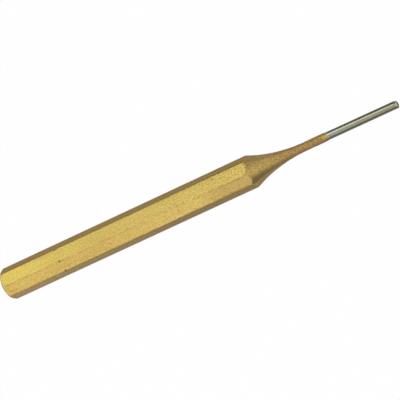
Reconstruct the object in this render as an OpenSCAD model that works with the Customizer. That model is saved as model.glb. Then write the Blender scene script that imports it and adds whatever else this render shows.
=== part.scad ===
// Pin punch: a hand tool turned and ground from one octagonal steel bar, lacquered all over
// but for its bare pin. It lies on one flat of its shank along X, with its head at -X and the
// tip of its pin at +X. Z is up, and Z = 0 is the surface that it lies on.

/* [Shank] */
// Length of the punch from its lacquered striking face to the tip of its pin
overall_length = 150; // [130:1:200]
// Width of the steel bar across two opposite flats, under the lacquer
bar_across_flats = 9.8; // [8:0.1:12]
// Depth taken off each long edge of the bar, measured outwards from its axis
edge_break = 0.06; // [0.02:0.01:0.2]
// Leg of the 45 degree chamfer around the striking face
head_chamfer = 0.5; // [0.2:0.1:1.2]

/* [Taper and neck] */
// Radius of the hollow turned taper between the shank and the neck
taper_radius = 48.5; // [30:0.1:80]
// Diameter of the steel neck where the taper runs out
neck_diameter = 2.66; // [2.2:0.02:4]
// Length of the lacquered neck, from the end of the taper to the bare pin
neck_length = 9.7; // [4:0.1:15]

/* [Pin] */
// Diameter of the ground pin
pin_diameter = 2.6; // [1.8:0.05:3.6]
// Length of the bare ground pin
pin_length = 26; // [15:0.5:40]
// Leg of the 45 degree chamfer around the pin's tip
tip_chamfer = 0.2; // [0.1:0.05:0.5]

/* [Lacquer] */
// Thickness of the lacquer coat
coat_thickness = 0.1; // [0.05:0.01:0.3]

/* [Hidden] */
bar_flats = 8;
half_facet_angle = 180 / bar_flats;
curve_steps = 96;

// Length by which the bar stock stands past each end of the punch before it is turned
stock_overrun = bar_across_flats;

// Places along the axis, counted from the lacquered striking face
pin_start = overall_length - pin_length;
taper_end = pin_start - neck_length;
neck_radius = neck_diameter / 2;
pin_radius = pin_diameter / 2;

// Height of the axis above the surface that the lacquered shank lies on
axis_height = bar_across_flats / 2 + coat_thickness;

// Radius of the broken long edges on the bar grown by a coat
function edge_radius(grow) = (bar_across_flats / 2 + grow) / cos(half_facet_angle) - edge_break;

// Bar stock with two flats level, longer than the punch at both ends
module octagon_stock(grow) {
  corner_radius = (bar_across_flats / 2 + grow) / cos(half_facet_angle);
  translate([0, 0, -stock_overrun])
    rotate([0, 0, half_facet_angle])
      cylinder(r = corner_radius, h = overall_length + 2 * stock_overrun, $fn = bar_flats);
}

// Outline of head, shank, hollow taper and conical neck, as a radius over the place along the axis
module body_outline(grow, start) {
  difference() {
    polygon([
      [0, start],
      [edge_radius(grow) - head_chamfer, start],
      [edge_radius(grow), start + head_chamfer],
      [edge_radius(grow), taper_end],
      [neck_radius + grow, taper_end],
      [pin_radius + grow, pin_start],
      [0, pin_start]
    ]);
    translate([neck_radius + taper_radius, taper_end])
      circle(r = taper_radius - grow, $fn = curve_steps);
  }
}

// Outline of the ground pin with its chamfered flat tip, from inside the neck
module pin_outline() {
  polygon([
    [0, taper_end],
    [pin_radius, taper_end],
    [pin_radius, overall_length - tip_chamfer],
    [pin_radius - tip_chamfer, overall_length],
    [0, overall_length]
  ]);
}

// Turns the bar stock, grown by a coat, down to an outline
module turned_bar(grow) {
  intersection() {
    octagon_stock(grow);
    rotate_extrude($fn = curve_steps)
      children();
  }
}

// The whole steel body, standing on its striking face
module bare_steel() {
  turned_bar(0) {
    body_outline(0, coat_thickness);
    pin_outline();
  }
}

// Turns a standing punch down onto one flat of its shank, centred along X
module lay_down() {
  translate([-overall_length / 2, 0, axis_height])
    rotate([0, 90, 0])
      children();
}

module steel_punch() {
  color("silver")
    lay_down()
      bare_steel();
}

module lacquer_coat() {
  color("goldenrod")
    lay_down()
      difference() {
        turned_bar(coat_thickness)
          body_outline(coat_thickness, 0);
        bare_steel();
      }
}

steel_punch();
lacquer_coat();
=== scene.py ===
import math
import random

import bmesh
import bpy
from mathutils import Matrix, Vector


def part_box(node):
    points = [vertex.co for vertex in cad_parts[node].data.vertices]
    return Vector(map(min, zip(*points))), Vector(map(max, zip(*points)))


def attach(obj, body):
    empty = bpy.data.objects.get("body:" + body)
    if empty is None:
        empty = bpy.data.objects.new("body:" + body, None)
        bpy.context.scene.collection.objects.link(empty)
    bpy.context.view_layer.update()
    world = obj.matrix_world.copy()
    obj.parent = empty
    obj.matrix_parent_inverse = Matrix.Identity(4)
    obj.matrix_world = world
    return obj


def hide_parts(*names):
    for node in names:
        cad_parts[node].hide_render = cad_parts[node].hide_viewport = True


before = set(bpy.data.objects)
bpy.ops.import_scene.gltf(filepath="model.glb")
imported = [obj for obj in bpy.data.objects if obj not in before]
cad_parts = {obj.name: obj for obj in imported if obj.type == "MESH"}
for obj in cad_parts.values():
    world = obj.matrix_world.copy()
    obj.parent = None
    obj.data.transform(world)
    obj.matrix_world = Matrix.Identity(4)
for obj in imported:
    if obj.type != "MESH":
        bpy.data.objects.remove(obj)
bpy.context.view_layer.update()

MM = 0.001
FLATS = 8
HALF_FLAT = math.pi / FLATS
FLAT_STEP = 2 * HALF_FLAT

# Places and sizes that the frame gives
coat_low, coat_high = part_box("lacquer_coat")
steel_low, steel_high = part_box("steel_punch")
head_x = coat_low.x
lacquer_end_x = coat_high.x
tip_x = steel_high.x
coat = steel_low.x - head_x
flat_radius = (coat_high.y - coat_low.y) / 2
axis_z = (coat_high.z + coat_low.z) / 2

# Sizes of the turned bar
edge_break = 0.06 * MM
head_chamfer = 0.5 * MM
rim_round = 0.15 * MM
taper_radius = 48.5 * MM
neck_radius = 1.33 * MM
neck_length = 9.7 * MM
pin_radius = 1.3 * MM
tip_chamfer = 0.05 * MM
tip_round = 0.04 * MM
taper_end_x = lacquer_end_x - neck_length

# Half of the corner that a 45 degree chamfer makes
half_corner = math.radians(22.5)

# The blank is turned a little past the bar's long edges, so that the flats alone make those edges
overrun = 0.2 * MM
blank_radius = flat_radius / math.cos(HALF_FLAT) + overrun

# Two flats round into each other at a long edge, and the lacquer is worn over a wider strip there
edge_softness = 2 * edge_break
worn_width = 8 * edge_break

# A flat rounds into the taper, and its lacquer passes into the taper's over a greater depth
facet_end_softness = 0.1 * MM
blend_depth = 0.6 * MM

# The lacquer thins out where it was wiped off the pin
feather_length = 1.2 * MM
feather_end = 0.035 * MM
lip_steps = 4

# The rings lie closer together on the last stretch of the pin
close_rings_length = 1 * MM

# Rows of vertices around each piece, and how far they draw together towards the long edges
steel_rows = 96
lacquer_rows = 240
row_gather_share = 0.35

# Limits below which a vertex counts as at a place, on the axis, or the same as another
at_place = 0.005 * MM
on_axis = 0.01 * MM
same_vertex = 0.0005 * MM

# How each flat differs from a true octagon's, from the back flat over the top one: its turn in degrees,
# its depth below the gauge in millimetres, how warm its lacquer is, and how much painted shade darkens
# it
FLAT_HABITS = [
    (0.3, 0.02, 0.4, 0.8),
    (0, 0, 0, 1),
    (0, 0, 0, 0),
    (0, 0, 1, 0),
    (-0.3, 0.03, 1, 1),
    (1.5, 0, 0.8, 0.9),
    (0, 0, 0.5, 0.7),
    (-0.4, 0.02, 0.6, 0.8),
]

# How far the taper stands proud of a true turning where it leaves the bar, in millimetres,
# for directions around the bar in degrees
TAPER_RUN_OUT = [
    (22.5, 0.25),
    (67.5, 0.20),
    (90, 0.05),
    (112.5, -0.10),
    (150, 0.10),
    (180, 0.10),
    (202.5, 0.11),
    (247.5, -0.05),
    (292.5, 0),
    (337.5, 0.08),
]

# How far the neck's lacquer stands proud on its thickest side, and where around the bar that is
neck_proud = 0.07 * MM
thick_side = math.radians(22.5)

# How far the taper's lacquer stands proud half way along it, and lies low where the neck starts,
# with the middle and the reach of each
taper_proud = 0.085 * MM
taper_proud_x = 31 * MM
taper_proud_reach = 11 * MM
neck_low = 0.05 * MM
neck_low_x = 40.5 * MM
neck_low_reach = 6.5 * MM

# The pin leans a little, by this much at its tip, and the tip is worn off on its thick side
pin_lean = Vector((0, -0.065, -0.027)) * MM
tip_wear_share = 0.2
tip_wear_length = 0.75 * MM

# Direction around the bar, in degrees, in which the taper's lacquer is painted palest, as painted light
# from above and behind
pale_side = 45

# Direction of the long edge between the two upper flats, as its shares of up and of front
top_edge_up = 0.92
top_edge_front = 0.38

# Length over which a scratch starts and ends
scratch_end = 0.5 * MM

# The studio, in metres and shares of white: how the floor shows to the camera and in reflections,
# its tone in the camera's eye and to bounced light, and the light of the room
punch_middle = Vector((0, 0, axis_z))
lamp_distance = 2.2
floor_radius = 6
white_share = 0.985
mirrored_share = 0.5
floor_tone = 0.8
floor_bounce = 0.08
room_light = 0.09

# Pits and nicks: millimetres from the head, degrees around the bar, radius and depth in millimetres
SEEN_PITS = [
    (23.0, 113.6, 0.46, 0.08),
    (21.8, 112.8, 0.34, 0.04),
    (23.0, 155.8, 0.48, 0.08),
    (22.4, 68.0, 0.50, 0.03),
    (9.3, 116.9, 0.42, 0.02),
    (41.9, 134.9, 0.38, 0.04),
    (68.9, 127.4, 0.36, 0.05),
    (83.6, 75.6, 0.38, 0.05),
    (77.2, 118.5, 0.32, 0.05),
    (86.6, 128.8, 0.32, 0.05),
    (80.9, 141.8, 0.32, 0.05),
]
OTHER_PIT_COUNT = 6

# Distance between rings over a pit, and the depth from which a pit is fully dark
pit_ring_step = 0.14 * MM
dark_pit_depth = 0.05 * MM


def scatter_pits():
    """The pits seen on the upper flats, and a few more around the others, in metres and radians."""
    chance = random.Random(5)
    pits = list(SEEN_PITS)
    for _ in range(OTHER_PIT_COUNT):
        along = chance.uniform(6, 92)
        around = chance.uniform(200, 400)
        pits.append((along, around, chance.uniform(0.25, 0.4), chance.uniform(0.03, 0.07)))
    return [
        (head_x + along * MM, math.radians(around), radius * MM, depth * MM)
        for along, around, radius, depth in pits
    ]


PITS = scatter_pits()


def spread(start, end, steps):
    """Even steps from just after a start up to an end."""
    return [start + (end - start) * step / steps for step in range(1, steps + 1)]


def arc(centre, radius, first, last, steps):
    """Points on a round stretch of an outline, given as (place along the axis, radius)."""
    angles = [first] + spread(first, last, steps)
    return [
        (centre[0] + radius * math.cos(math.radians(a)), centre[1] + radius * math.sin(math.radians(a)))
        for a in angles
    ]


def taper_at(x, grow):
    """Radius of the hollow taper, grown by a coat, at a place along the axis."""
    sweep = taper_radius - grow
    return neck_radius + taper_radius - math.sqrt(sweep**2 - (taper_end_x - x) ** 2)


def taper_place(radius, grow):
    """Place along the axis at which the grown taper has a radius."""
    sweep = taper_radius - grow
    return taper_end_x - math.sqrt(sweep**2 - (neck_radius + taper_radius - radius) ** 2)


def head_outline(start, grow):
    """Striking face with its rounded rim, and the chamfer up to the blank's own radius."""
    rim = (flat_radius - coat + grow) / math.cos(HALF_FLAT) - edge_break - head_chamfer
    tangent = rim_round * math.tan(half_corner)
    face = [(start, share * rim) for share in (0, 0.2, 0.4, 0.6, 0.8, 0.9)]
    rounded = arc((start + rim_round, rim - tangent), rim_round, 180, 135, 5)
    last_x, last_r = rounded[-1]
    chamfer = [(x, last_r + x - last_x) for x in spread(last_x, last_x + blank_radius - last_r, 22)]
    return face + rounded + chamfer


def shank_stations(start, end):
    """Places along the shank, close together over the pits and about a millimetre apart elsewhere."""
    places = set(spread(start, end, 60)[:-1])
    for x, _, radius, _ in PITS:
        steps = round(1.1 * radius / pit_ring_step)
        places.update(x + step * pit_ring_step for step in range(-steps, steps + 1))
    kept = [start]
    for x in sorted(places):
        if x - kept[-1] > 0.4 * pit_ring_step:
            kept.append(x)
    return kept[1:]


def neck_at(x):
    """Radius of the lacquered neck, which narrows a little from the taper to the pin."""
    share = (x - taper_end_x) / neck_length
    return coat + neck_radius + (pin_radius - neck_radius) * share


def lacquer_outline():
    """Outline of the coat from the middle of its face, over its outside and back along its inside."""
    outside = head_outline(head_x, coat)
    taper_start = taper_place(blank_radius, coat)
    flats_end = taper_place(flat_radius - overrun, coat)
    outside += [(x, blank_radius) for x in shank_stations(outside[-1][0], taper_start)]
    outside += [(x, taper_at(x, coat)) for x in [taper_start] + spread(taper_start, flats_end, 40)]
    outside += [(x, taper_at(x, coat)) for x in spread(flats_end, taper_end_x, 36)]
    feather_start = lacquer_end_x - feather_length
    outside += [(x, neck_at(x)) for x in spread(taper_end_x, feather_start, 10)]
    lip_start = lacquer_end_x - feather_end
    for x in spread(feather_start, lip_start, 12):
        share = (x - feather_start) / (lip_start - feather_start)
        thinned = (coat - feather_end) * (0.5 - 0.5 * math.cos(math.pi * share))
        outside.append((x, neck_at(x) - thinned))
    for step in range(1, lip_steps):
        turn = math.radians(90 * step / lip_steps)
        lip_radius = pin_radius + feather_end * math.cos(turn)
        outside.append((lip_start + feather_end * math.sin(turn), lip_radius))
    inside = steel_core_outline() + [(lacquer_end_x, pin_radius)]
    inside.reverse()
    return [(x, r, coat) for x, r in outside] + [(x, r, 0) for x, r in inside]


def steel_core_outline():
    """Outline of the steel under the coat, from the middle of its face to the end of its neck."""
    core = head_outline(steel_low.x, 0)[::4]
    taper_start = taper_place(blank_radius, 0)
    core += [(x, blank_radius) for x in spread(core[-1][0], taper_start, 6)]
    core += [(x, taper_at(x, 0)) for x in spread(taper_start, taper_end_x, 24)]
    return core


def steel_outline():
    """Outline of the whole steel bar, from the middle of its face to the middle of its tip."""
    rim = pin_radius - tip_chamfer
    tangent = tip_round * math.tan(half_corner)
    slant = tangent / math.sqrt(2)
    close_rings_x = tip_x - close_rings_length
    chamfer_x = tip_x - tip_chamfer - tangent
    outline = steel_core_outline()
    outline += [(x, pin_radius) for x in [lacquer_end_x] + spread(lacquer_end_x, close_rings_x, 36)]
    outline += [(x, pin_radius) for x in spread(close_rings_x, chamfer_x, 8)]
    outline += arc((chamfer_x, pin_radius - tip_round), tip_round, 90, 45, 4)
    outline += [(tip_x - slant, rim + slant)]
    outline += arc((tip_x - tip_round, rim - tangent), tip_round, 45, 0, 4)
    outline += [(tip_x, share * rim) for share in (0.8, 0.6, 0.4, 0.2, 0)]
    return [(x, r, 0) for x, r in outline]


def soft_min(first, second, softness):
    """The smaller of two radii, with the corner between them rounded off."""
    near = max(softness - abs(first - second), 0) / softness
    return min(first, second) - near**2 * softness / 4


def flat_offset(angle):
    """Angle from the middle of the nearest flat."""
    return angle - round(angle / FLAT_STEP) * FLAT_STEP


def flat_cuts(angle, gauge):
    """Radii at which the flats near an angle cut the bar, smallest first, with their numbers."""
    nearest = round(angle / FLAT_STEP)
    cuts = []
    for place in (nearest - 1, nearest, nearest + 1):
        number = place % FLATS
        turn, depth, _, _ = FLAT_HABITS[number]
        offset = angle - place * FLAT_STEP - math.radians(turn)
        cuts.append(((gauge - depth * MM) / math.cos(offset), number))
    return sorted(cuts)


def between_flats(angle, column):
    """A habit of the flats, blended smoothly from one flat's middle to the next."""
    place = angle / FLAT_STEP
    first = math.floor(place)
    share = place - first
    here = FLAT_HABITS[first % FLATS][column]
    there = FLAT_HABITS[(first + 1) % FLATS][column]
    return here * (1 - share) + there * share


def pit_depth(x, angle, radius):
    """Depth of all the pits at a place on the bar."""
    depth = 0
    for pit_x, pit_angle, pit_radius, pit_floor in PITS:
        if abs(x - pit_x) >= pit_radius:
            continue
        around = math.remainder(angle - pit_angle, 2 * math.pi) * radius
        distance = math.hypot(x - pit_x, around) / pit_radius
        depth += pit_floor * max(0, 1 - distance**2) ** 2
    return depth


def hump(x, middle, reach):
    """A smooth hump of height 1 around a place along the axis."""
    return max(0, 1 - ((x - middle) / reach) ** 2) ** 2


def taper_run_out(x, angle):
    """How far the lacquer stands proud at a place on the taper or the neck."""
    start = taper_place(flat_radius, coat)
    left = min(max((taper_end_x - x) / (taper_end_x - start), 0), 1)
    turn = math.degrees(angle) % 360
    thick = neck_proud * (1 - left**2) * max(0, math.cos(angle - thick_side))
    thick += taper_proud * hump(x, taper_proud_x, taper_proud_reach)
    thick -= neck_low * hump(x, neck_low_x, neck_low_reach)
    places = TAPER_RUN_OUT + [(TAPER_RUN_OUT[0][0] + 360, TAPER_RUN_OUT[0][1])]
    if turn < places[0][0]:
        turn += 360
    for (first, low), (last, high) in zip(places, places[1:]):
        if turn <= last:
            share = 0.5 - 0.5 * math.cos(math.pi * (turn - first) / (last - first))
            return thick + (low + (high - low) * share) * left**2 * MM
    return thick


def worn_pin(x, angle, radius):
    """Radius of the pin at a place: proud next to the neck, and worn at one side of its tip."""
    along = (x - lacquer_end_x) / (tip_x - lacquer_end_x)
    side = max(0, math.cos(angle - thick_side))
    wear = tip_wear_share * max(0, 1 - (tip_x - x) / tip_wear_length)
    return (radius + neck_proud * (1 - along) * side) * (1 - wear * side**2)


def mark_face(vert, notes):
    """Gives the striking face one even lacquer, whatever the flats around it are like."""
    for name, value in (("turned", 0), ("warm", 0.5), ("painted_shade", 0.35), ("pale", 0.5)):
        vert[notes[name]] = value


def grind_flats(bm, pitted):
    """Grinds the eight flats on a turned blank, and keeps what the finish needs to know."""
    grow_layer = bm.verts.layers.float["grow"]
    notes = {
        name: bm.verts.layers.float.new(name)
        for name in ("turned", "edge", "rim", "pit", "warm", "painted_shade", "pale")
    }
    for vert in bm.verts:
        radius = math.hypot(vert.co.y, vert.co.z)
        on_face = vert.co.x < head_x + at_place
        if radius < on_axis:
            vert.co.z += axis_z
            if on_face:
                mark_face(vert, notes)
            continue
        grow = vert[grow_layer]
        angle = math.atan2(vert.co.z, vert.co.y)
        offset = flat_offset(angle)
        # The surface turns fastest at the long edges, so the rows draw together there
        angle += row_gather_share * offset * (1 - (offset / HALF_FLAT) ** 2)
        if grow > 0 and vert.co.x > 0:
            radius += taper_run_out(vert.co.x, angle)
        if grow == 0 and vert.co.x > lacquer_end_x - at_place:
            radius = worn_pin(vert.co.x, angle, radius)
        (near_flat, number), (next_flat, _), _ = flat_cuts(angle, flat_radius - coat + grow)
        bar = soft_min(near_flat, next_flat, edge_softness)
        ground = soft_min(radius, bar, facet_end_softness)
        pit = pit_depth(vert.co.x, angle, ground) if pitted and grow > 0 else 0
        turned = min(max((bar - radius) / facet_end_softness + 0.5, 0), 1)
        long_edge = max(0, 1 - (next_flat - near_flat) / worn_width)
        vert[notes["turned"]] = min(max((bar - radius) / blend_depth + 0.5, 0), 1)
        vert[notes["edge"]] = long_edge * (1 - turned)
        vert[notes["rim"]] = max(0, 1 - abs(radius - bar) / (2 * facet_end_softness))
        vert[notes["pit"]] = min(pit / dark_pit_depth, 1)
        # Each flat's warmth, and the painted shade that darkens the flats facing away from the light
        for name, column in (("warm", 2), ("painted_shade", 3)):
            smooth = between_flats(angle, column)
            vert[notes[name]] = FLAT_HABITS[number][column] * (1 - turned) + smooth * turned
        # Painted light: 1 on the side from which the taper's lacquer is painted palest, 0 on the
        # opposite side
        vert[notes["pale"]] = 0.5 + 0.5 * math.cos(angle - math.radians(pale_side))
        if on_face:
            mark_face(vert, notes)
        ground -= pit
        vert.co.y = ground * math.cos(angle)
        vert.co.z = ground * math.sin(angle) + axis_z


def mesh_from(bm, name):
    """A mesh that holds what was modelled."""
    mesh = bpy.data.meshes.new(name)
    bm.to_mesh(mesh)
    bm.free()
    return mesh


def put_in_scene(name, data):
    """An object in the scene, for a mesh, a lamp or a camera."""
    obj = bpy.data.objects.new(name, data)
    bpy.context.scene.collection.objects.link(obj)
    return obj


def turned_piece(name, outline, rows, pitted):
    """A piece turned from an outline of (place, radius, coat) around the punch's axis, then ground."""
    bm = bmesh.new()
    grow_layer = bm.verts.layers.float.new("grow")
    chain = []
    for x, radius, grow in outline:
        vert = bm.verts.new((x, radius, 0))
        vert[grow_layer] = grow
        chain.append(vert)
    edges = [bm.edges.new(pair) for pair in zip(chain, chain[1:])]
    bmesh.ops.spin(
        bm, geom=chain + edges, cent=(0, 0, 0), axis=(1, 0, 0), dvec=(0, 0, 0),
        angle=2 * math.pi, steps=rows, use_merge=True, use_duplicate=False,
    )
    bmesh.ops.remove_doubles(bm, verts=bm.verts, dist=same_vertex)
    bmesh.ops.recalc_face_normals(bm, faces=bm.faces)
    grind_flats(bm, pitted)
    for vert in bm.verts:
        vert.co += pin_lean * max(0, (vert.co.x - lacquer_end_x) / (tip_x - lacquer_end_x))
    mesh = mesh_from(bm, name)
    mesh.shade_smooth()
    piece = put_in_scene(name, mesh)
    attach(piece, "root")
    return piece


class Signal:
    """A value in a material's nodes, which takes part in plain sums."""

    def __init__(self, finish, socket):
        self.finish = finish
        self.socket = socket

    def sum(self, operation, first, second):
        return self.finish.node("ShaderNodeMath", {"operation": operation}, {0: first, 1: second})

    def __add__(self, other):
        return self.sum("ADD", self, other)

    def __sub__(self, other):
        return self.sum("SUBTRACT", self, other)

    def __rsub__(self, other):
        return self.sum("SUBTRACT", other, self)

    def __mul__(self, other):
        return self.sum("MULTIPLY", self, other)

    __radd__ = __add__
    __rmul__ = __mul__


class Finish:
    """A material in the making, with one way to add a node to it."""

    def __init__(self, name):
        self.material = bpy.data.materials.new(name)
        self.material.use_nodes = True
        self.tree = self.material.node_tree
        self.tree.nodes.clear()

    def node(self, kind, settings, inputs, output=0):
        made = self.tree.nodes.new(kind)
        for key, value in settings.items():
            setattr(made, key, value)
        for key, value in inputs.items():
            if isinstance(value, Signal):
                self.tree.links.new(value.socket, made.inputs[key])
            else:
                made.inputs[key].default_value = value
        return Signal(self, made.outputs[output])

    def place(self):
        return self.node("ShaderNodeTexCoord", {}, {}, "Object")

    def axis(self, name):
        return self.node("ShaderNodeSeparateXYZ", {}, {0: self.place()}, name)

    def across(self):
        """Distance from the axis towards the front, square to the top edge."""
        return (self.axis("Z") - axis_z) * -top_edge_front - self.axis("Y") * top_edge_up

    def facing(self):
        """Distance from the axis towards the top edge."""
        return (self.axis("Z") - axis_z) * top_edge_up - self.axis("Y") * top_edge_front

    def attribute(self, name):
        return self.node("ShaderNodeAttribute", {"attribute_name": name}, {}, "Fac")

    def stretched(self, scale):
        return self.node("ShaderNodeMapping", {}, {"Vector": self.place(), "Scale": scale})

    def noise(self, vector, scale, detail, roughness=0.5):
        values = {"Vector": vector, "Scale": scale, "Detail": detail, "Roughness": roughness}
        return self.node("ShaderNodeTexNoise", {}, values)

    def fade(self, value, low, high):
        limits = {"Value": value, "From Min": low, "From Max": high}
        return self.node("ShaderNodeMapRange", {"interpolation_type": "SMOOTHSTEP"}, limits)

    def mix(self, factor, first, second):
        return self.node("ShaderNodeMix", {"data_type": "RGBA"}, {0: factor, 6: first, 7: second}, 2)

    def bump(self, height, strength, distance):
        return self.node(
            "ShaderNodeBump", {}, {"Height": height, "Strength": strength, "Distance": distance}
        )

    def surface(self, shader):
        end = self.tree.nodes.new("ShaderNodeOutputMaterial")
        self.tree.links.new(shader.socket, end.inputs["Surface"])
        return self.material


def paint(red, green, blue):
    """A colour as it looks on a screen, turned into the light that a shader works with."""
    shares = [value / 255 for value in (red, green, blue)]
    light = [s / 12.92 if s <= 0.04045 else ((s + 0.055) / 1.055) ** 2.4 for s in shares]
    return (*light, 1)


def grey(share):
    """A grey that gives back a share of the light."""
    return (share, share, share, 1)


class GoldLacquer(Finish):
    """Satin gold lacquer: mottled on the flats, speckled and browner on the taper and neck, with
    painted shade and light.
    """

    def __init__(self):
        super().__init__("gold_lacquer")
        self.x = self.axis("X")
        self.edge = self.attribute("edge")
        self.rim = self.attribute("rim")
        self.warm = self.attribute("warm")
        # How much painted shade darkens a flat, and how far a place faces the side of painted light
        self.painted_shade = self.attribute("painted_shade")
        self.pale = self.attribute("pale")
        self.blend = self.attribute("turned")
        self.mottle = self.noise(self.place(), 1900, 3, 0.6)
        self.grain = self.noise(self.place(), 2600, 2, 0.6)
        self.broken = self.noise(self.place(), 500, 2)
        ragged = (self.grain - 0.5 - self.painted_shade * 0.12) * (1 - self.warm)
        self.turned = self.fade(self.blend + ragged, 0.42, 0.58)
        self.toward_neck = self.fade(self.x, -12 * MM, 22 * MM)
        self.toward_pin = self.fade(self.x, 24 * MM, 38 * MM)
        self.upper_flat = (1 - self.warm) * (1 - self.painted_shade) * (1 - self.turned)

    def flat_tone(self):
        """Yellow on the upper flat, orange on the flat in front of it, and darker on the others as
        painted shade.
        """
        x = self.x
        from_head = self.fade(x, head_x + 8 * MM, head_x + 45 * MM)
        along_shank = self.fade(x, head_x, head_x + 85 * MM)
        yellow = self.mix(from_head, paint(248, 222, 114), paint(230, 207, 115))
        yellow = self.mix(self.fade(x, -16 * MM, 2 * MM), yellow, paint(243, 220, 123))
        orange = self.mix(self.fade(x, -30 * MM, -8 * MM), paint(246, 210, 120), paint(248, 217, 127))
        orange = self.mix(self.fade(x, 1 * MM, 11 * MM), orange, paint(226, 192, 117))
        front = self.mix(along_shank, paint(236, 206, 150), paint(198, 171, 126))
        tone = self.mix(self.warm, yellow, orange)
        # The flats that face away from the light get a darker tone as painted shade
        return self.mix(self.painted_shade, tone, self.mix(self.warm, paint(195, 164, 99), front))

    def mottled(self, tone):
        """The flats' tone with slow drifts, mottling, bright grain and fine lines along the bar."""
        drift = self.noise(self.place(), 70, 2)
        tone = self.mix(self.fade(drift, 0.3, 0.7) * 0.3, tone, paint(214, 180, 98))
        grainy = self.fade(self.x, -28 * MM, -2 * MM) * self.upper_flat
        strength = 0.5 + grainy * 0.2
        tone = self.mix(self.fade(self.mottle, 0.35, 0.65) * strength, tone, paint(184, 152, 76))
        bright = self.fade(self.grain, 0.55, 0.7) * (1 - self.painted_shade)
        tone = self.mix(bright * 0.35, tone, paint(250, 230, 146))
        drawn = self.noise(self.stretched((60, 2600, 2600)), 1, 2)
        return self.mix(self.fade(drawn, 0.5, 0.75) * 0.25, tone, paint(186, 150, 76))

    def worn(self, tone):
        """The flats' tone with the wear along their long edges, which grows towards the neck, and
        painted shade: dark lines along the edges of the shaded flats and a darker far side of the upper
        flat.
        """
        edge = self.edge
        bright_side = 1 - self.painted_shade
        rubbed = edge * bright_side * self.fade(self.broken, 0.4, 0.6)
        tone = self.mix(rubbed * (0.2 + self.warm * 0.3), tone, paint(186, 142, 66))
        beside = self.fade(edge, 0.05, 0.25) * (1 - self.fade(edge, 0.45, 0.75))
        beside = beside * self.warm * bright_side * self.fade(self.broken, 0.3, 0.5) * self.toward_neck
        tone = self.mix(beside * 0.5, tone, paint(140, 104, 46))
        # Painted shade: the upper flat is darker towards its far long edge
        painted_far_shade = 1 - self.fade(self.across(), -3.4 * MM, -1.6 * MM)
        painted_far_shade = painted_far_shade * self.fade(self.x, -20 * MM, -8 * MM) * self.upper_flat
        tone = self.mix(painted_far_shade * 0.15, tone, paint(184, 152, 76))
        # Painted shade: dark lines along the long edges of the shaded flats, stronger towards the neck
        cool = 1 - self.warm
        painted_dark_edges = edge * self.painted_shade * (0.45 + self.toward_neck * cool * 0.4)
        tone = self.mix(painted_dark_edges, tone, paint(118, 94, 54))
        # Painted shade: a darker, broken line along the edges of the shaded flats without warmth,
        # before the taper
        dark = self.fade(self.x, 4 * MM, 11 * MM) * self.fade(edge, 0.1, 0.6)
        dark = dark * self.fade(self.broken, 0.25, 0.5) * self.painted_shade * cool
        return self.mix(dark * 0.8, tone, paint(92, 72, 36))

    def taper_tone(self):
        """Speckled brown, with painted light and shade around the taper: palest on the upper back side,
        darker in front, lighter again underneath, and more even on the neck.
        """
        speckle = self.fade(self.grain, 0.35, 0.65)
        lit = self.pale + self.fade(self.x, 18 * MM, 32 * MM) * 0.07
        # Painted light and shade: from the lighter underside, over the darker front, to the palest
        # upper back side
        under = paint(200, 171, 120)
        deep = self.mix(speckle, paint(146, 121, 76), paint(164, 136, 85))
        middle = self.mix(speckle, paint(163, 140, 78), paint(212, 181, 103))
        light = self.mix(speckle, paint(178, 150, 93), paint(230, 195, 124))
        tone = self.mix(self.fade(self.pale, 0.2, 0.32), under, deep)
        tone = self.mix(self.fade(lit, 0.4, 0.62), tone, middle)
        tone = self.mix(self.fade(self.pale, 0.75, 0.95), tone, light)
        neck = self.mix(speckle, paint(150, 122, 74), paint(189, 158, 107))
        lit_neck = self.mix(speckle, paint(153, 119, 67), paint(198, 163, 102))
        neck = self.mix(self.fade(lit, 0.45, 0.8), neck, lit_neck)
        return self.mix(self.toward_pin, tone, neck)

    def rimmed(self, tone):
        """A tone with a painted highlight at the flats' ends, a painted dark outline at the head's rim
        and the pale lip at the pin, whose paleness on its upper side is a painted highlight.
        """
        at_head = 1 - self.fade(self.x, head_x + 0.6 * MM, head_x + 1.2 * MM)
        # Painted highlight at the ends of the warm flats, and a painted dark outline at the head's rim
        tone = self.mix(self.rim * self.warm * (1 - at_head) * 0.4, tone, paint(246, 218, 134))
        tone = self.mix(self.rim * at_head * 0.6, tone, paint(138, 108, 58))
        # The lacquer lip at the pin is real; its pale colour, on the upper side only, is a painted
        # highlight
        lip = self.fade(self.x, lacquer_end_x - 1.6 * MM, lacquer_end_x - 0.7 * MM)
        lip = lip * self.fade(self.pale, 0.48, 0.62) * (1 - self.fade(self.pale, 0.84, 0.95))
        return self.mix(lip * 0.9, tone, paint(202, 175, 101))

    def scratch(self, first, last, half_width):
        """A scratch on the flat in front of the upper one, between places (from the head, across)."""
        across = (self.axis("Y") + self.axis("Z") - axis_z) * -math.sqrt(0.5)
        start_x = head_x + first[0]
        end_x = head_x + last[0]
        slope = (last[1] - first[1]) / (last[0] - first[0])
        away = across - first[1] - (self.x - start_x) * slope
        near = 1 - self.fade(away * away, 0.2 * half_width**2, half_width**2)
        ends = self.fade(self.x, start_x, start_x + scratch_end)
        ends = ends - self.fade(self.x, end_x - scratch_end, end_x)
        return near * ends * self.warm * (1 - self.painted_shade)

    def specks(self):
        """Dark specks, which grow more towards the neck and are fewer on the taper."""
        flat_end = self.fade(self.blend, 0.3, 0.5) * (1 - self.fade(self.x, 20 * MM, 23 * MM))
        flat_end = flat_end * (1 - self.warm) * (1 - self.painted_shade)
        share = self.toward_neck * 0.05 + self.fade(self.x, -14 * MM, 8 * MM) * self.upper_flat * 0.08
        share = share - self.turned * 0.05 + flat_end * self.toward_neck * 0.1
        scattered = self.noise(self.place(), 2300, 1.5)
        return self.fade(scattered - 0.73 + share, -0.01, 0.04)

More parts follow.
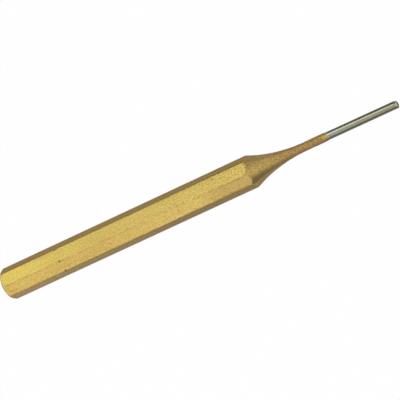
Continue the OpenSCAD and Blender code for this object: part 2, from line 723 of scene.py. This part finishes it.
    def made(self):
        """The finished material."""
        flats = self.worn(self.mottled(self.flat_tone()))
        tone = self.rimmed(self.mix(self.turned, flats, self.taper_tone()))
        mark = self.scratch((1 * MM, 0.52 * MM), (5 * MM, 0.70 * MM), 0.16 * MM)
        tone = self.mix(mark * 0.7, tone, paint(190, 120, 58))
        specks = self.specks()
        tone = self.mix(specks * 0.65, tone, paint(116, 88, 40))
        tone = self.mix(self.attribute("pit") * 0.95, tone, paint(80, 52, 18))
        height = self.mottle * 0.6 + self.grain * 0.4 - specks * 0.6
        values = {
            "Base Color": tone,
            "Metallic": 0.2 + self.turned * 0.25 - self.toward_pin * 0.3,
            "Roughness": 0.40 + self.fade(self.mottle, 0.3, 0.7) * 0.12 + self.toward_pin * 0.08,
            "Specular IOR Level": 0.05,
            "Normal": self.bump(height, 0.35, 0.04 * MM),
        }
        return self.surface(self.node("ShaderNodeBsdfPrincipled", {}, values))


class GroundSteel(Finish):
    """Bare ground steel: painted reflection bands along the pin, with faint lines, a film of lacquer at
    its start and a painted highlight on its tip.
    """

    def __init__(self):
        super().__init__("ground_steel")
        self.x = self.axis("X")
        self.lines = self.noise(self.stretched((40, 1700, 1700)), 1, 1)
        self.patches = self.noise(self.stretched((400, 900, 900)), 1, 2)
        ragged = self.x + (self.patches - 0.5) * 0.4 * MM
        self.film = 1 - self.fade(ragged, lacquer_end_x + 0.4 * MM, lacquer_end_x + 1 * MM)

    def pin_tone(self):
        """Grey steel with painted reflection bands along its upper front, and gold where the film of
        lacquer is left, painted darker on its front side as shade.
        """
        across = self.across()
        tone = self.mix(self.fade(self.x, 50 * MM, 62 * MM), paint(141, 143, 131), paint(137, 134, 114))
        # Painted reflection: dark and light bands along the pin, across its width
        painted_reflection_bands = self.fade(across, -0.7 * MM, -0.3 * MM) * 0.32
        painted_reflection_bands = painted_reflection_bands + self.fade(across, 0.35 * MM, 0.6 * MM) * 0.28
        painted_reflection_bands = painted_reflection_bands - self.fade(across, 0.7 * MM, 1 * MM) * 0.58
        tone = self.mix(painted_reflection_bands, tone, paint(40, 38, 32))
        tone = self.mix(self.fade(self.lines, 0.4, 0.7) * 0.08, tone, paint(98, 95, 82))
        # The lacquer film, painted darker towards the front as shade
        film_with_painted_shade = self.mix(self.fade(across, 0, 0.6 * MM), paint(190, 164, 98), paint(158, 133, 82))
        return self.mix(self.film, tone, film_with_painted_shade)

    def tip_tone(self):
        """The flat tip, with a painted highlight in the middle of its upper half and painted shade
        elsewhere.
        """
        across = self.across()
        middle = 1 - self.fade(across * across, (0.4 * MM) ** 2, (0.9 * MM) ** 2)
        # Painted highlight: the bright middle of the tip's upper half
        bright = self.fade(self.facing(), -0.15 * MM, 0.15 * MM) * middle
        return self.mix(bright, paint(104, 99, 86), paint(240, 237, 212))

    def made(self):
        """The finished material."""
        at_tip = self.fade(self.x, tip_x - 0.08 * MM, tip_x - 0.05 * MM)
        values = {
            "Base Color": self.mix(at_tip, self.pin_tone(), self.tip_tone()),
            "Metallic": 1 - self.film * 0.8,
            "Roughness": 0.22 + self.fade(self.patches, 0.3, 0.7) * 0.05 + self.film * 0.2,
            "Normal": self.bump(self.lines, 0.04, 0.02 * MM),
        }
        return self.surface(self.node("ShaderNodeBsdfPrincipled", {}, values))


def floor_finish():
    """Pale floor that shows white to the camera and in reflections, and keeps a soft shadow."""
    f = Finish("pale_floor")
    seen, glossy, through = (
        f.node("ShaderNodeLightPath", {}, {}, name)
        for name in ("Is Camera Ray", "Is Glossy Ray", "Is Transmission Ray")
    )
    shown = seen * white_share + (glossy + through) * mirrored_share
    tone = f.mix(seen, grey(floor_bounce), grey(floor_tone))
    board = f.node("ShaderNodeBsdfDiffuse", {}, {"Color": tone})
    white = f.node("ShaderNodeEmission", {}, {"Color": grey(1), "Strength": 1})
    return f.surface(f.node("ShaderNodeMixShader", {}, {0: shown, 1: board, 2: white}))


def lay_floor():
    """The floor that the punch lies on."""
    bm = bmesh.new()
    bmesh.ops.create_circle(bm, cap_ends=True, segments=64, radius=floor_radius)
    mesh = mesh_from(bm, "floor")
    mesh.materials.append(floor_finish())
    floor = put_in_scene("floor", mesh)


def stand(obj, place, right, up, back):
    """Stands an object at a place, turned by its own three directions."""
    turn = Matrix((right, up, back)).transposed()
    obj.matrix_world = Matrix.Translation(place) @ turn.to_4x4()


def softbox(name, azimuth, elevation, width, height, radiance):
    """A soft lamp that faces the punch, from degrees around from +X and degrees above the floor."""
    turn = math.radians(azimuth)
    rise = math.radians(elevation)
    lamp = bpy.data.lights.new(name, "AREA")
    lamp.shape = "RECTANGLE"
    lamp.size = width
    lamp.size_y = height
    lamp.energy = radiance * math.pi * width * height
    outward = Vector((math.cos(rise) * math.cos(turn), math.cos(rise) * math.sin(turn), math.sin(rise)))
    right = Vector((0, 0, 1)).cross(outward).normalized()
    place = punch_middle + lamp_distance * outward
    stand(put_in_scene(name, lamp), place, right, outward.cross(right), outward)


def light_studio():
    """Two softboxes at the left, one on the camera's side and a weak one behind, in a dim room."""
    softbox("back_left_lamp", 160, 65, 1.9, 1.1, 3.1)
    softbox("front_left_lamp", 241, 33, 1.1, 2.2, 1.95)
    softbox("camera_side_lamp", 315, 53, 1.1, 1.95, 2.3)
    softbox("back_lamp", 112, 13, 2.4, 0.8, 0.35)
    world = bpy.data.worlds.new("studio")
    world.use_nodes = True
    world.node_tree.nodes["Background"].inputs["Color"].default_value = grey(room_light)
    bpy.context.scene.world = world


def stand_camera():
    """Camera at the photograph's angle: above the long edge between the two upper flats."""
    lean = math.radians(25.58)
    height = math.radians(67.5)
    roll = math.radians(24.90)
    distance = 1.39
    frame_pixels = 400
    pixels_per_metre = 3160.3
    punch_pixels = Vector((-1.6, -3.81))
    along = Vector((1, 0, 0))
    facing = Vector((0, -math.cos(height), math.sin(height)))
    upward = Vector((0, math.sin(height), math.cos(height)))
    back = math.sin(lean) * along + math.cos(lean) * facing
    across = math.cos(lean) * along - math.sin(lean) * facing
    right = math.cos(roll) * across - math.sin(roll) * upward
    up = math.sin(roll) * across + math.cos(roll) * upward
    punch_at = punch_pixels / pixels_per_metre
    place = punch_middle + distance * back - punch_at.x * right + punch_at.y * up
    lens = bpy.data.cameras.new("camera")
    lens.sensor_width = 36
    lens.lens = lens.sensor_width * pixels_per_metre * distance / frame_pixels
    camera = put_in_scene("camera", lens)
    stand(camera, place, right, up, back)
    bpy.context.scene.camera = camera


steel_bar = turned_piece("steel_bar", steel_outline(), steel_rows, False)
steel_bar.data.materials.append(GroundSteel().made())
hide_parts("steel_punch")

lacquer = turned_piece("lacquer", lacquer_outline(), lacquer_rows, True)
lacquer.data.materials.append(GoldLacquer().made())
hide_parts("lacquer_coat")

lay_floor()
light_studio()
stand_camera()
bpy.context.scene.view_settings.view_transform = "Standard"
